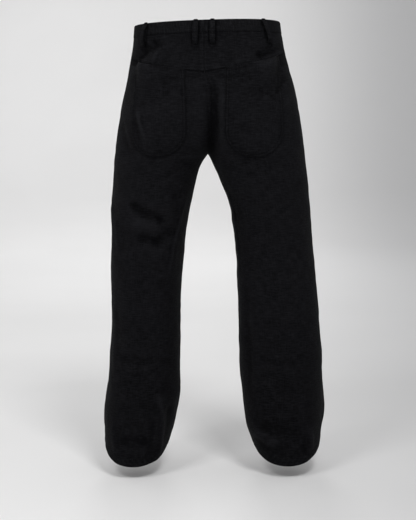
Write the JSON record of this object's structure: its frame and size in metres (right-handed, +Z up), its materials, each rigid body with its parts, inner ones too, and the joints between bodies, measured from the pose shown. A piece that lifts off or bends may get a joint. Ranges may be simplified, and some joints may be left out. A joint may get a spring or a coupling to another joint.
{
  "type": "wide-leg jeans",
  "caption": "Wide-leg jeans in their worn form: hollow legs with full knees and hems, a pointed back yoke, deep rounded patch pockets, belt loops and a buttoned waistband.",
  "frame": {"origin": "centre of the waist opening, level with the top edge of the waistband at the side seams, where the wearer's waist holds the jeans", "axes": "+Z up along the wearer's height, -Y the front of the jeans, +Y the seat, +X the wearer's left leg"},
  "size_m": [0.5402, 0.2681, 1.0666],
  "materials": {
    "cloth": "matte black slubby linen and cotton twill with tone-on-tone topstitching",
    "button": "dark horn-like button with a soft gloss"
  },
  "bodies": {
    "root": {"waistband": "cloth", "yoke_left": "cloth", "back_left": "cloth", "front_left": "cloth", "pocket_left": "cloth", "yoke_right": "cloth", "back_right": "cloth", "front_right": "cloth", "pocket_right": "cloth", "loop_centre_left": "cloth", "loop_centre_right": "cloth", "loop_back_left": "cloth", "loop_back_right": "cloth", "loop_front_left": "cloth", "loop_front_right": "cloth", "waist_button": "button"}
  },
  "joints": []
}
